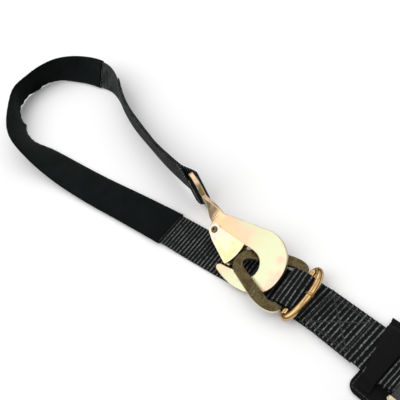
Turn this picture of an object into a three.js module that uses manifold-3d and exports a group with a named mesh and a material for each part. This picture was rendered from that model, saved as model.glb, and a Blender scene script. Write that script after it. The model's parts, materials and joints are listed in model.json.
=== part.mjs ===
// Ratchet tie down: the fixed end and its axle loop.
// A padded webbing loop carries a twisted snap hook, which is closed onto a delta ring. The delta
// ring and a dee ring hang in a sewn roll of webbing, and that webbing runs on to the ratchet.
// Millimetres, +Z up. The origin is on the floor under the middle of the ratchet's backing pad.
import * as THREE from "three";
import { mergeVertices } from "three/addons/utils/BufferGeometryUtils.js";
import Module from "manifold-3d";

const wasm = await Module();
wasm.setup();

// ---- driving dimensions ----
const GAP = 0.3;               // air left between pieces that touch
const FLOOR = 0.2;             // air under whatever rests on the floor
const WEB_WIDTH = 50;
const WEB_THICK = 2.5;
const SLEEVE_WIDTH = 54;
const SLEEVE_THICK = 7.4;
const SLEEVE_WALL = 1.6;
const PLY = WEB_THICK + GAP;
const TAIL_Z = FLOOR + 1.5 * WEB_THICK + GAP;        // ratchet strap's lower ply, over the axle strap
const OVER_Z = TAIL_Z + PLY;
const ROLL_FLOOR = TAIL_Z + WEB_THICK / 2;           // inside of the roll that holds the rings
const ROLL_ROOM = 10.65;
const RIGHT_TURN = THREE.MathUtils.degToRad(-8.8);   // heading of the ratchet's strap in plan
const STEPS = 5;               // lengths of webbing solid between two stations of its course

const HOOK_THICK = 4.5;
const HOOK_PLAN = THREE.MathUtils.degToRad(-23.5);
const HOOK_TILT = THREE.MathUtils.degToRad(8);
const HOOK_ROLL = THREE.MathUtils.degToRad(18);
const HOOK_BOW = new THREE.Vector3(-264, 19, ROLL_FLOOR + 6.1);    // far end of the plate's bow
const EYE_WIDTH = 66;
const EYE_LENGTH = 31;
const EYE_BAR = 8;
const EYE_CHEEK = 6;           // metal above and below the eye's slot
const EYE_CORNER = 11;
const EYE_THICK = 6;
const EYE_CENTRE = new THREE.Vector3(-163.8, 0, 23.5);
const NECK_WIDTH = 19;
const LATCH_SHEET = 1.5;
const LATCH_GAP = 0.5;
const LATCH_FLOOR_GAP = 2.2;   // room for the spring coil under the plate
const RIVET_RADIUS = 3.2;
const RIVET_HEAD = 4.6;
const PIVOT = [-105, -11.5];   // rivet, in the plate's own plane

const RING_BAR = new THREE.Vector3(-240, 33, ROLL_FLOOR + 5.1);   // middle of its straight bar
const RING_THICK = 4;
const RING_TILT = THREE.MathUtils.degToRad(7);
const RING_ROLL = THREE.MathUtils.degToRad(5);
const DEE_BAR = new THREE.Vector3(-229.5, 33.5, ROLL_FLOOR + 5);
const DEE_WIRE = 8.6;
const DEE_WIDTH = 67;          // between wire centres
const DEE_DEPTH = 19;          // from bar centre to bow centre
const DEE_TILT = THREE.MathUtils.degToRad(32);

const PAD_THICK = 4;
const PAD_WIDTH = 92;
const PAD_LENGTH = 250;
const PAD_START = -134;        // end nearest the rings, along the ratchet's strap
const FLAP_THICK = 1.6;
const FLAP_WIDTH = 76;
const FLAP_END = -113;         // end nearest the ratchet
const FLAP_LENGTH = 20.5;      // along its middle
const FLAP_SKEW = 0.24;        // its other end is cut askew

const PLATE_THICK = 3;
const FRAME_INSIDE = 56;       // clear width between the frame plates
const FRAME_FOOT = PAD_THICK + GAP;
const SPOOL = [50, 32];        // spool centre, x and z in the ratchet's own frame
const BOLT = [-72, 22];        // fixed bolt centre
const BOLT_RADIUS = 5;
const SPACER_RADIUS = 8;
const WHEEL_RADIUS = 24;
const WHEEL_ROOT = 18;
const WHEEL_TEETH = 12;
const WHEEL_THICK = 5;
const SPOOL_RADIUS = 11;
const SPOOL_SLOT = 4.5;
const RUNNING = 0.4;           // clearance round the spool
const HANDLE_REACH = 138;
const HANDLE_THICK = 2.5;
const WASHER_THICK = 1.5;
const LOCK_BAR_X = -24;        // bar that holds the lock spring, in the ratchet's own frame
const PIN_RADIUS = 3;
const PAWL_THICK = 4;
const PAWL_GAP = 0.4;

// ---- materials ----
function finish(color, roughness, metalness) {
  return new THREE.MeshStandardMaterial({ color, roughness, metalness });
}
const webbing = finish(0x16181a, 0.8, 0);
const sleeveCloth = finish(0x0e1412, 0.9, 0);
const zinc = finish(0xd8c890, 0.3, 1);
const brightZinc = finish(0xe8e4c8, 0.25, 1);
const olive = finish(0x6f6238, 0.4, 1);
const gold = finish(0xc79a4c, 0.25, 1);
const springSteel = finish(0x8a8c90, 0.35, 1);
const gripCoat = finish(0x1c1c1e, 0.6, 0);

const group = new THREE.Group();

// ---- helpers ----
function add(name, geometry, material, parent = group) {
  const mesh = new THREE.Mesh(geometry, material);
  mesh.name = name;
  parent.add(mesh);
  return mesh;
}

function solid(geometry) {
  const bare = geometry.clone();
  bare.deleteAttribute("normal");
  bare.deleteAttribute("uv");
  const merged = mergeVertices(bare, 1e-4);
  const vertProperties = new Float32Array(merged.attributes.position.array);
  const triVerts = new Uint32Array(merged.index.array);
  return new wasm.Manifold(new wasm.Mesh({ numProp: 3, vertProperties, triVerts }));
}

function shell(manifold) {
  const mesh = manifold.getMesh();
  const geometry = new THREE.BufferGeometry();
  geometry.setAttribute("position", new THREE.BufferAttribute(mesh.vertProperties, 3));
  geometry.setIndex(new THREE.BufferAttribute(mesh.triVerts, 1));
  return geometry;
}

// The points of a closed outline, without the repeats where one curve starts as another ends.
function distinct(points) {
  return points.filter((point, i) => point.distanceTo(points[(i + 1) % points.length]) > 0.02);
}

function wound(points, clockwise) {
  return THREE.ShapeUtils.isClockWise(points) === clockwise ? points : points.reverse();
}

// A flat plate in the XY plane, centred on it, from an outline and its holes.
function plate(shape, thick, curveSegments = 12) {
  const points = shape.extractPoints(curveSegments);
  const clean = new THREE.Shape(wound(distinct(points.shape), false));
  clean.holes = points.holes.map((hole) => new THREE.Path(wound(distinct(hole), true)));
  const options = { depth: thick, bevelEnabled: false };
  return new THREE.ExtrudeGeometry(clean, options).translate(0, 0, -thick / 2);
}

function outline(points) {
  return new THREE.Shape(points.map(([x, y]) => new THREE.Vector2(x, y)));
}

function roundHole(shape, x, y, radius) {
  shape.holes.push(new THREE.Path().absarc(x, y, radius, 0, 2 * Math.PI, true));
}

function roundedBox(x0, y0, x1, y1, radius) {
  const shape = new THREE.Shape();
  shape.absarc(x1 - radius, y0 + radius, radius, -Math.PI / 2, 0);
  shape.absarc(x1 - radius, y1 - radius, radius, 0, Math.PI / 2);
  shape.absarc(x0 + radius, y1 - radius, radius, Math.PI / 2, Math.PI);
  shape.absarc(x0 + radius, y0 + radius, radius, Math.PI, 1.5 * Math.PI);
  return shape;
}

// A round rod along Y, or a tube when it has a bore.
function rodY(radius, length, bore = 0, sides = 32) {
  if (bore === 0) {
    return new THREE.CylinderGeometry(radius, radius, length, sides);
  }
  const ring = new THREE.Shape().absarc(0, 0, radius, 0, 2 * Math.PI);
  roundHole(ring, 0, 0, bore);
  return plate(ring, length, sides / 2).rotateX(Math.PI / 2);
}

// A band of webbing through a list of frames. Each frame has its centre, the direction along the
// band, the direction across it and the normal of its face.
function band(frames, width, thick) {
  const last = frames.length - 1;
  const geometry = new THREE.BoxGeometry(last, width, thick, last, 1, 1);
  const place = geometry.attributes.position;
  for (let i = 0; i < place.count; i += 1) {
    const frame = frames[Math.round(place.getX(i) + last / 2)];
    const point = frame.centre.clone();
    point.addScaledVector(frame.across, place.getY(i) * (frame.spread ?? 1));
    point.addScaledVector(frame.face, place.getZ(i) * (frame.depth ?? 1));
    place.setXYZ(i, point.x, point.y, point.z);
  }
  return geometry;
}

// ---- course of the axle strap ----
// Stations of the strap's middle: x, y, lift above rest, lean in degrees from flat, and the half
// width and half thickness of what rests on the floor there. A lean of 90 stands it on its edge.
const BARE = [WEB_WIDTH / 2, WEB_THICK / 2];
const PADDED = [SLEEVE_WIDTH / 2, SLEEVE_THICK / 2];
const DOUBLE = [WEB_WIDTH / 2, WEB_THICK + GAP / 2];
const STATIONS = [
  [-144, 22.3, 0, 0, BARE],
  [-172, 26.6, 0, 0, BARE],
  [-200, 30.6, 0, 0, BARE],
  [-228, 32.4, 0, 0, BARE],
  [-260, 32, 0, 0, BARE],
  [-300, 31, 0, 0, BARE],
  [-345, 30.4, 0, 0, BARE],
  [-392, 30.4, 0.3, 0, BARE],
  [-441, 30.6, 0, 0, PADDED],
  [-528, 30, 0, 0, PADDED],
  [-613, 28.5, 0, 1, PADDED],
  [-698, 29.5, 0, 6, PADDED],
  [-782, 33, 0, 25, PADDED],
  [-857, 40, 0.3, 58, PADDED],
  [-932, 74, 0.4, 90, PADDED],
  [-997, 119, 0.2, 112, PADDED],
  [-1007, 169, 0, 116, PADDED],
  [-979, 208, 0, 99, PADDED],
  [-937, 229, 0, 70, PADDED],
  [-890, 242, 0, 49, PADDED],
  [-839, 241, 0, 51, PADDED],
  [-795, 234, 0, 64, DOUBLE],
  [-752, 216, 0, 71, DOUBLE],
  [-706, 189, 0, 78, DOUBLE],
  [-654, 164, 0, 83, DOUBLE],
  [-596, 142, 0, 87, DOUBLE],
  [-538, 121, 1.5, 90, DOUBLE],
  [-485, 105, 6.5, 90, DOUBLE],
  [-453, 96.2, 9.7, 90, DOUBLE],
  [-425, 89, 10, 90, DOUBLE],
];
const SLEEVE_FROM = 8;
const SLEEVE_TO = 20;
const RETURN_END = 21;         // station where the returned ply of the eye loop ends
const PLY_OFFSET = (WEB_THICK + GAP) / 2;
const EYE_OFFSET = 6.55 + WEB_THICK / 2;     // from the eye's bar to the middle of the webbing
const SPLIT = 34;              // length over which the two plies part before the eye

function stationCentre([x, y, lift, lean, [halfWidth, halfThick]]) {
  const angle = THREE.MathUtils.degToRad(lean);
  const rest = halfWidth * Math.sin(angle) + halfThick * Math.abs(Math.cos(angle));
  return new THREE.Vector3(x, y, FLOOR + lift + rest);
}

const course = new THREE.CatmullRomCurve3(STATIONS.map(stationCentre), false, "catmullrom", 0.5);
const leans = new THREE.CatmullRomCurve3(
  STATIONS.map((station) => new THREE.Vector3(station[3], 0, 0)), false, "catmullrom", 0.5);
const UP = new THREE.Vector3(0, 0, 1);

function courseFrame(station) {
  const t = station / (STATIONS.length - 1);
  const along = course.getTangent(t);
  const lean = THREE.MathUtils.degToRad(leans.getPoint(t).x);
  const across = new THREE.Vector3(-along.y, along.x, 0).normalize().multiplyScalar(Math.cos(lean));
  across.addScaledVector(UP, Math.sin(lean));
  across.addScaledVector(along, -across.dot(along)).normalize();
  const face = new THREE.Vector3().crossVectors(along, across);
  return { centre: course.getPoint(t), along, across, face };
}

function courseFrames(from, to, offset = () => 0) {
  const frames = [];
  for (let i = Math.round(from * STEPS); i <= Math.round(to * STEPS); i += 1) {
    const frame = courseFrame(i / STEPS);
    frame.centre.addScaledVector(frame.face, offset(frame.centre));
    frames.push(frame);
  }
  return frames;
}

const eyeEnd = courseFrame(STATIONS.length - 1);

// Single webbing lies on the course; in the eye loop each ply lies to its own side of it.
function plySpread(centre) {
  const away = Math.min(centre.distanceTo(eyeEnd.centre) / SPLIT, 1);
  const ease = away * away * (3 - 2 * away);
  return EYE_OFFSET + (PLY_OFFSET - EYE_OFFSET) * ease;
}

function outboundOffset(centre) {
  const start = courseFrame(SLEEVE_TO).centre;
  const paired = courseFrame(RETURN_END + 1).centre;
  const share = THREE.MathUtils.clamp((centre.x - start.x) / (paired.x - start.x), 0, 1);
  const pastSleeve = centre.y > eyeEnd.centre.y - 1 && centre.x > start.x;
  return pastSleeve ? share * plySpread(centre) : 0;
}

function turnFrame(angle) {
  const { centre, along, across, face } = eyeEnd;
  const radial = face.clone().multiplyScalar(Math.cos(angle));
  radial.addScaledVector(along, Math.sin(angle));
  const forward = along.clone().multiplyScalar(Math.cos(angle));
  forward.addScaledVector(face, -Math.sin(angle));
  const point = centre.clone().addScaledVector(radial, EYE_OFFSET);
  return { centre: point, along: forward, across, face: radial };
}

function axleStrap() {
  const outbound = courseFrames(0, STATIONS.length - 1, outboundOffset);
  const turn = [];
  for (let i = 1; i < 8; i += 1) {
    turn.push(turnFrame((i * Math.PI) / 8));
  }
  const back = courseFrames(RETURN_END + 1, STATIONS.length - 1, (centre) => -plySpread(centre));
  for (const frame of back) {
    frame.along.negate();
    frame.face.negate();
  }
  return band([...outbound, ...turn, ...back.reverse()], WEB_WIDTH, WEB_THICK);
}

add("axle_strap", axleStrap(), webbing);

// The sleeve is a flat tube over the strap, open at both ends.
function wearSleeve() {
  const outside = band(courseFrames(SLEEVE_FROM, SLEEVE_TO), SLEEVE_WIDTH, SLEEVE_THICK);
  const overrun = 1 / STEPS;
  const inside = band(courseFrames(SLEEVE_FROM - overrun, SLEEVE_TO + overrun),
    SLEEVE_WIDTH - 2 * SLEEVE_WALL, SLEEVE_THICK - 2 * SLEEVE_WALL);
  return shell(solid(outside).subtract(solid(inside)));
}
add("wear_sleeve", wearSleeve(), sleeveCloth);

// ---- snap hook ----
// Everything on the hook is placed in a frame turned in plan only. The plate is then tilted and
// rolled about the far end of its bow, and the eye stands upright.
const hookGroup = new THREE.Group();
hookGroup.position.copy(HOOK_BOW);
hookGroup.rotation.z = HOOK_PLAN;
group.add(hookGroup);

const plateGroup = new THREE.Group();
plateGroup.rotation.set(HOOK_ROLL, HOOK_TILT, 0, "ZYX");
hookGroup.add(plateGroup);

function hookPlate() {
  const shape = new THREE.Shape();
  shape.moveTo(-118, -9);
  shape.lineTo(-118, 9);
  shape.lineTo(-100.4, 18.5);
  shape.lineTo(-60, 39.9);
  shape.splineThru([
    [-48, 45.9], [-31.6, 47.6], [-14.3, 42.1], [-2, 29], [3.7, 10], [1.2, -4.9],
    [-10, -19.9], [-25.4, -29.8], [-43.9, -35.4], [-61.6, -37.4],
  ].map(([x, y]) => new THREE.Vector2(x, y)));
  shape.quadraticCurveTo(-67, -36, -65.6, -32.4);
  shape.lineTo(-63.8, -29.4);
  shape.quadraticCurveTo(-54, -24.4, -46, -20);
  shape.absarc(-40, -3, 17.4, -1.9, 1.45, false);
  shape.quadraticCurveTo(-48, 14.5, -59, 9.4);
  shape.lineTo(-93, -14);
  shape.quadraticCurveTo(-98, -20.5, -106, -20.5);
  shape.quadraticCurveTo(-113, -19, -118, -9);
  roundHole(shape, PIVOT[0], PIVOT[1], RIVET_RADIUS + GAP);
  return plate(shape, HOOK_THICK, 10);
}

function hookEye() {
  const half = EYE_WIDTH / 2;
  const reach = EYE_LENGTH / 2;
  const shape = roundedBox(-reach, -half, reach, half, EYE_CORNER);
  const slotHalf = half - EYE_CHEEK;
  const slot = roundedBox(-reach + EYE_BAR, -slotHalf, reach - EYE_BAR, slotHalf, 5);
  shape.holes.push(slot);
  return plate(shape, EYE_THICK).rotateX(Math.PI / 2).translate(...EYE_CENTRE.toArray());
}

function hookNeck() {
  const start = new THREE.Vector3(-110, 0, 0).applyEuler(plateGroup.rotation);
  const end = EYE_CENTRE.clone().add(new THREE.Vector3(EYE_LENGTH / 2 - EYE_BAR / 2, 0, 0));
  const along = end.clone().sub(start).normalize();
  const steps = 12;
  const frames = [];
  for (let i = 0; i <= steps; i += 1) {
    const share = i / steps;
    const ease = share * share * (3 - 2 * share);
    const angle = HOOK_ROLL + (Math.PI / 2 - HOOK_ROLL) * ease;
    const across = new THREE.Vector3(0, -Math.cos(angle), -Math.sin(angle));
    across.addScaledVector(along, -across.dot(along)).normalize();
    const face = new THREE.Vector3().crossVectors(along, across);
    const depth = 1 + (EYE_THICK / HOOK_THICK - 1) * share;
    frames.push({ centre: start.clone().lerp(end, share), along, across, face, depth });
  }
  return band(frames, NECK_WIDTH, HOOK_THICK * 0.995);
}

const plateTurn = new THREE.Matrix4().makeRotationFromEuler(plateGroup.rotation);
const tiltedPlate = solid(hookPlate().applyMatrix4(plateTurn));
const hookSolid = tiltedPlate.add(solid(hookNeck())).add(solid(hookEye()));
add("hook_body", shell(hookSolid), zinc, hookGroup);

// The latch is one bent sheet: two cheeks beside the plate and a spine across the mouth.
const TOP_CHEEK = HOOK_THICK / 2 + LATCH_GAP;
const LOW_CHEEK = HOOK_THICK / 2 + LATCH_FLOOR_GAP;
function latchCheek() {
  const shape = new THREE.Shape();
  shape.absarc(PIVOT[0], PIVOT[1], 8, 1.25, 4.2, false);
  shape.lineTo(-95.9, -21.6);
  shape.lineTo(-60.5, -24.5);
  shape.absarc(PIVOT[0], PIVOT[1], 48.8, -0.25, 0.44, false);
  roundHole(shape, PIVOT[0], PIVOT[1], RIVET_RADIUS + GAP);
  return plate(shape, LATCH_SHEET, 16);
}

function latchSpine() {
  const spine = new THREE.BoxGeometry(33, LATCH_SHEET, TOP_CHEEK + LOW_CHEEK + 2 * LATCH_SHEET);
  return spine.rotateZ(-0.075).translate(-77.5, -22.2, (TOP_CHEEK - LOW_CHEEK) / 2);
}

function latch() {
  const top = latchCheek().translate(0, 0, TOP_CHEEK + LATCH_SHEET / 2);
  const low = latchCheek().translate(0, 0, -LOW_CHEEK - LATCH_SHEET / 2);
  return shell(solid(top).add(solid(low)).add(solid(latchSpine())));
}
add("hook_latch", latch(), brightZinc, plateGroup);

function latchRivet() {
  const top = TOP_CHEEK + LATCH_SHEET + GAP;
  const low = -LOW_CHEEK - LATCH_SHEET - GAP;
  const profile = [
    [1.4, low - 1.6], [RIVET_HEAD, low - 1.6], [RIVET_HEAD, low], [RIVET_RADIUS, low],
    [RIVET_RADIUS, top], [RIVET_HEAD, top], [RIVET_HEAD - 0.6, top + 1.2], [1.4, top + 1.4],
    [1.4, low - 1.6],
  ].map(([x, y]) => new THREE.Vector2(x, y));
  return new THREE.LatheGeometry(profile, 24).rotateX(Math.PI / 2).translate(PIVOT[0], PIVOT[1], 0);
}
add("latch_rivet", latchRivet(), brightZinc, plateGroup);

function latchSpring() {
  const turn = new THREE.TorusGeometry(5.2, 0.75, 8, 24);
  const leg = new THREE.CylinderGeometry(0.75, 0.75, 12, 8).rotateZ(Math.PI / 2);
  const joined = solid(turn).add(solid(leg.translate(6, 5.2, 0)));
  return shell(joined).translate(PIVOT[0], PIVOT[1], -HOOK_THICK / 2 - LATCH_FLOOR_GAP / 2);
}
add("latch_spring", latchSpring(), springSteel, plateGroup);

// ---- rings ----
// The delta ring is cut from flat stock. Its own x runs from the bar to the apex.
function deltaRing() {
  const shape = new THREE.Shape();
  shape.moveTo(-5, -26);
  shape.quadraticCurveTo(-4, -37.5, 12, -37.5);
  shape.quadraticCurveTo(20, -37.5, 31, -34);
  shape.lineTo(66, -18.5);
  shape.quadraticCurveTo(76.6, -13, 76.6, 0);
  shape.quadraticCurveTo(76.6, 13, 66, 18.5);
  shape.lineTo(31, 34);
  shape.quadraticCurveTo(20, 37.5, 12, 37.5);
  shape.quadraticCurveTo(-4, 37.5, -5, 26);
  const inside = new THREE.Path();
  inside.moveTo(5, -23);
  inside.lineTo(5, 23);
  inside.quadraticCurveTo(5.5, 27, 14, 25.4);
  inside.lineTo(58, 8.3);
  inside.quadraticCurveTo(66.6, 4.5, 66.6, 0);
  inside.quadraticCurveTo(66.6, -4.5, 58, -8.3);
  inside.lineTo(14, -25.4);
  inside.quadraticCurveTo(5.5, -27, 5, -23);
  shape.holes.push(inside);
  return plate(shape, RING_THICK, 6);
}
const delta = add("delta_ring", deltaRing(), olive);
const apexward = new THREE.Vector3(-Math.cos(RING_TILT), 0, Math.sin(RING_TILT));
const barward = new THREE.Vector3(0, Math.cos(RING_ROLL), -Math.sin(RING_ROLL));
barward.addScaledVector(apexward, -barward.dot(apexward)).normalize();
const ringNormal = new THREE.Vector3().crossVectors(apexward, barward);
delta.setRotationFromMatrix(new THREE.Matrix4().makeBasis(apexward, barward, ringNormal));
delta.position.copy(RING_BAR);

// The dee ring is one closed wire: a straight bar, and a shallow bow with round corners.
class DeeCentreline extends THREE.Curve {
  constructor() {
    super();
    const half = DEE_WIDTH / 2;
    this.path = new THREE.CurvePath();
    const point = (x, y) => new THREE.Vector3(x, y, 0);
    const corner = 6;
    const low = point(0, -half + corner);
    const high = point(0, half - corner);
    const bow = [
      point(corner, -half), point(DEE_DEPTH * 0.62, -half * 0.86),
      point(DEE_DEPTH * 0.93, -half * 0.42), point(DEE_DEPTH, 0),
      point(DEE_DEPTH * 0.93, half * 0.42), point(DEE_DEPTH * 0.62, half * 0.86),
      point(corner, half),
    ];
    this.path.add(new THREE.LineCurve3(high, low));
    this.path.add(new THREE.QuadraticBezierCurve3(low, point(0, -half), bow[0]));
    this.path.add(new THREE.CatmullRomCurve3(bow));
    this.path.add(new THREE.QuadraticBezierCurve3(bow[6], point(0, half), high));
  }

  getPoint(t, target = new THREE.Vector3()) {
    return target.copy(this.path.getPointAt(t % 1));
  }
}

const deeWire = new THREE.TubeGeometry(new DeeCentreline(), 64, DEE_WIRE / 2, 12, true);
const dee = add("dee_ring", deeWire, gold);
dee.rotation.y = -DEE_TILT;
dee.position.copy(DEE_BAR);

// ---- ratchet strap: it rises over both bars, turns under them and is sewn to itself ----
const PAD_Z = PAD_THICK + GAP + WEB_THICK / 2;
const ROLL_TOP = ROLL_FLOOR + ROLL_ROOM + WEB_THICK / 2;
const ROLL_TURN_X = -243.5;
const TAIL_END = -146;
const ROLL_PINCH = 0.93;       // the roll is drawn in a little between the corners of the ring

function strapPlan(x) {
  const line = Math.tan(RIGHT_TURN) * x;
  const share = THREE.MathUtils.clamp((x + 236) / 36, 0, 1);
  const ease = share * share * (3 - 2 * share);
  return (1 - ease) * 33.5 + ease * line;
}

function strapFrame(x, z, heading) {
  const probe = 0.5;
  const slope = strapPlan(x + probe) - strapPlan(x - probe);
  const across = new THREE.Vector3(slope, -1, 0).normalize();
  const along = new THREE.Vector3(heading[0], heading[0] * slope, heading[1]).normalize();
  const face = new THREE.Vector3().crossVectors(along, across);
  return { centre: new THREE.Vector3(x, strapPlan(x), z), along, across, face };
}

function arcPoints(centre, radius, from, to, count) {
  const points = [];
  for (let i = 0; i <= count; i += 1) {
    const angle = from + ((to - from) * i) / count;
    points.push([centre[0] + radius * Math.cos(angle), centre[1] + radius * Math.sin(angle)]);
  }
  return points;
}

function ratchetStrap() {
  const boltLoop = arcPoints([BOLT[0] * Math.cos(RIGHT_TURN), BOLT[1]],
    SPACER_RADIUS + 2 * GAP + WEB_THICK / 2, 0.75 * Math.PI, -0.6 * Math.PI, 12);
  const rollRadius = (ROLL_TOP - TAIL_Z) / 2;
  const rollLoop = arcPoints([ROLL_TURN_X, (ROLL_TOP + TAIL_Z) / 2], rollRadius, Math.PI / 2,
    1.5 * Math.PI, 8);
  const side = [
    [-132, PAD_Z + PLY + 0.4], [-120, PAD_Z + PLY], [-110, PAD_Z + PLY + 0.6], [-100, 13.4],
    [-88, 22],
    ...boltLoop,
    [-84, 10], [-94, 7], [-106, PAD_Z], [-118, PAD_Z], [-130, PAD_Z + 0.4], [-142, OVER_Z],
    [-156, OVER_Z], [-170, OVER_Z], [-184, OVER_Z], [-202, OVER_Z + 0.3], [-210, OVER_Z + 1.25],
    [-216.5, OVER_Z + 3.15], [-221.5, ROLL_TOP - 4.5], [-226, ROLL_TOP - 1.7], [-230, ROLL_TOP],
    [-236, ROLL_TOP + 0.2],
    ...rollLoop,
    [-234, TAIL_Z], [-224, TAIL_Z], [-214, TAIL_Z], [-204, TAIL_Z], [-196, TAIL_Z],
    [-184, TAIL_Z], [-170, TAIL_Z], [-156, TAIL_Z], [TAIL_END, TAIL_Z],
  ];
  const frames = side.map(([x, z], i) => {
    const before = side[Math.max(i - 1, 0)];
    const after = side[Math.min(i + 1, side.length - 1)];
    const frame = strapFrame(x, z, [after[0] - before[0], after[1] - before[1]]);
    frame.spread = x < -210 ? ROLL_PINCH : 1;
    return frame;
  });
  return band(frames, WEB_WIDTH, WEB_THICK);
}
add("ratchet_strap", ratchetStrap(), webbing);

// ---- ratchet, in a frame turned with its strap ----
const ratchet = new THREE.Group();
ratchet.rotation.z = RIGHT_TURN;
group.add(ratchet);
const [SPOOL_X, SPOOL_Z] = SPOOL;
const [BOLT_X, BOLT_Z] = BOLT;
const PLATE_Y = FRAME_INSIDE / 2 + PLATE_THICK / 2;
const WHEEL_Y = FRAME_INSIDE / 2 + PLATE_THICK + 2 * GAP + WHEEL_THICK / 2;
const HANDLE_Y = WHEEL_Y + WHEEL_THICK / 2 + 4 * GAP + HANDLE_THICK / 2;
const HANDLE_OUT = HANDLE_Y + HANDLE_THICK / 2;
const PAWL_REACH = WHEEL_Y + WHEEL_THICK / 2 + GAP;
const SPOOL_BORE = SPOOL_RADIUS + RUNNING;
const LOCK_TIP = SPOOL_X - WHEEL_ROOT - 1;
const LOCK_LENGTH = 25;
const LOCK_TRAVEL = 6;
const DRIVE_LINE = THREE.MathUtils.degToRad(150);
const DRIVE_TIP = WHEEL_RADIUS + 1.5;
const DRIVE_LENGTH = 15;
const DRIVE_TRAVEL = 6;
const SEAT_REACH = 62;         // spool centre to the drive spring's seat
const SIDES = { left: 1, right: -1 };

// A plate standing in the XZ plane at a distance along Y.
function upright(shape, thick, y, curveSegments = 12) {
  return plate(shape, thick, curveSegments).rotateX(Math.PI / 2).translate(0, y, 0);
}

const padShape = roundedBox(PAD_START, -PAD_WIDTH / 2, PAD_START + PAD_LENGTH, PAD_WIDTH / 2, 10);
const pad = plate(padShape, PAD_THICK, 4).translate(0, 0, PAD_THICK / 2);
add("backing_pad", pad, sleeveCloth, ratchet);

// A cloth keeper over both plies of the strap where they reach the pad.
function padFlap() {
  const half = WEB_WIDTH / 2;
  const edge = FLAP_WIDTH / 2;
  const foot = PAD_THICK + GAP;
  const low = PAD_Z + PLY + 0.9 + WEB_THICK / 2;
  const side = [
    [half + 1.3, low], [half + 6, foot], [edge, foot], [edge, foot + FLAP_THICK],
    [half + 7, foot + FLAP_THICK], [half + 2.3, low + FLAP_THICK],
  ];
  const section = outline([...side, ...side.map(([y, z]) => [-y, z]).reverse()]);
  const cloth = plate(section, FLAP_LENGTH);
  cloth.applyMatrix4(new THREE.Matrix4().set(0, 0, 1, 0, 1, 0, 0, 0, 0, 1, 0, 0, 0, 0, 0, 1));
  const place = cloth.attributes.position;
  for (let i = 0; i < place.count; i += 1) {
    const askew = place.getX(i) < 0 ? -FLAP_SKEW * place.getY(i) : 0;
    place.setX(i, place.getX(i) + askew + FLAP_END - FLAP_LENGTH / 2);
  }
  return cloth;
}
add("pad_flap", padFlap(), sleeveCloth, ratchet);

function framePlate(y) {
  const shape = new THREE.Shape();
  shape.moveTo(-62, FRAME_FOOT);
  shape.lineTo(44, FRAME_FOOT);
  shape.quadraticCurveTo(56, FRAME_FOOT, 64, 13.6);
  shape.absarc(SPOOL_X, SPOOL_Z, 23, -0.93, 2.72, false);
  shape.lineTo(20, 41);
  shape.lineTo(-24, 41);
  shape.quadraticCurveTo(-34, 41, -44, 36);
  shape.lineTo(-66, 36);
  shape.absarc(BOLT_X, BOLT_Z, 14, 1.2, Math.PI + 0.6, false);
  roundHole(shape, BOLT_X, BOLT_Z, BOLT_RADIUS + GAP);
  roundHole(shape, SPOOL_X, SPOOL_Z, SPOOL_BORE);
  const slotTop = SPOOL_Z + PAWL_THICK / 2 + PAWL_GAP;
  const slotLow = SPOOL_Z - PAWL_THICK / 2 - PAWL_GAP;
  const slotBack = LOCK_TIP - LOCK_LENGTH - LOCK_TRAVEL - PAWL_GAP;
  const slotFront = LOCK_TIP + PAWL_GAP;
  shape.holes.push(new THREE.Path([
    [slotBack, slotLow], [slotBack, slotTop], [slotFront, slotTop], [slotFront, slotLow],
  ].map(([x, z]) => new THREE.Vector2(x, z))));
  roundHole(shape, LOCK_BAR_X, SPOOL_Z, PIN_RADIUS + GAP);
  return upright(shape, PLATE_THICK, y);
}

function ratchetWheel(y) {
  const points = [];
  const half = Math.PI / WHEEL_TEETH;
  for (let tooth = 0; tooth < WHEEL_TEETH; tooth += 1) {
    const middle = (2 * tooth + 1) * half;
    for (const [radius, turn] of [[WHEEL_ROOT, -0.62], [WHEEL_RADIUS, -0.3], [WHEEL_RADIUS, 0.22],
      [WHEEL_ROOT, 0.44]]) {
      const angle = middle + turn * half;
      points.push([SPOOL_X + radius * Math.cos(angle), SPOOL_Z + radius * Math.sin(angle)]);
    }
  }
  const shape = outline(points);
  roundHole(shape, SPOOL_X, SPOOL_Z, SPOOL_RADIUS + GAP);
  return upright(shape, WHEEL_THICK, y);
}

function handlePlate(y) {
  const back = SPOOL_X - HANDLE_REACH;
  const shape = new THREE.Shape();
  shape.moveTo(back, 41.5);
  shape.lineTo(back, 52);
  shape.quadraticCurveTo(back, 56, back + 6, 56);
  shape.lineTo(-34, 58);
  shape.lineTo(-8, 71);
  shape.quadraticCurveTo(-2, 73, 4, 68);
  shape.lineTo(34, 47);
  shape.absarc(SPOOL_X, SPOOL_Z, 17, 1.8, -2.6, true);
  shape.lineTo(22, 40);
  shape.quadraticCurveTo(14, 42, 4, 42);
  roundHole(shape, SPOOL_X, SPOOL_Z, SPOOL_BORE);
  roundHole(shape, SPOOL_X + SEAT_REACH * Math.cos(DRIVE_LINE),
    SPOOL_Z + SEAT_REACH * Math.sin(DRIVE_LINE), PIN_RADIUS + GAP);
  const slot = [
    [DRIVE_TIP - PAWL_GAP, -1], [DRIVE_TIP - PAWL_GAP, 1],
    [DRIVE_TIP + DRIVE_LENGTH + DRIVE_TRAVEL + PAWL_GAP, 1],
    [DRIVE_TIP + DRIVE_LENGTH + DRIVE_TRAVEL + PAWL_GAP, -1],
  ].map(([reach, side]) => drivePoint(reach, side * (PAWL_THICK / 2 + PAWL_GAP)));
  shape.holes.push(new THREE.Path(slot));
  return upright(shape, HANDLE_THICK, y);
}

// A point in the drive pawl's plane: a reach from the spool's centre and an offset to one side.
function drivePoint(reach, offset) {
  const x = SPOOL_X + reach * Math.cos(DRIVE_LINE) - offset * Math.sin(DRIVE_LINE);
  const z = SPOOL_Z + reach * Math.sin(DRIVE_LINE) + offset * Math.cos(DRIVE_LINE);
  return new THREE.Vector2(x, z);
}

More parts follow.
